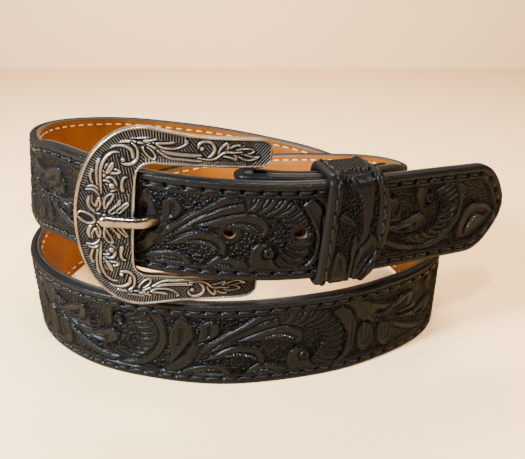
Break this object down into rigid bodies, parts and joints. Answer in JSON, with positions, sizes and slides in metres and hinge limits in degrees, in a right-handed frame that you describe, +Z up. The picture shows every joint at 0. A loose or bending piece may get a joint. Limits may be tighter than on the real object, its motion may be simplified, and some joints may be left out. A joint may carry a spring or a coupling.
{
  "type": "western tooled belt",
  "caption": "Black floral-tooled leather belt with an engraved silver buckle, buckled and coiled, standing on its edge.",
  "frame": {"origin": "under the middle of the whole belt's box, on the surface it stands on", "axes": "+Z up, -Y towards the buckle's front, +X towards the free tip of the strap"},
  "size_m": [0.218, 0.1772, 0.1096],
  "materials": {
    "tooled_leather": "black, tooled and waxed",
    "lining_leather": "saddle brown, smooth",
    "keeper_leather": "black, tooled and waxed",
    "buckle_metal": "antiqued silver, dark recesses",
    "tongue_metal": "polished silver"
  },
  "bodies": {
    "root": {"outer_strap": "tooled_leather", "lining": "lining_leather", "keeper_loop": "keeper_leather", "buckle_frame": "buckle_metal", "buckle_tongue": "tongue_metal"}
  },
  "joints": []
}
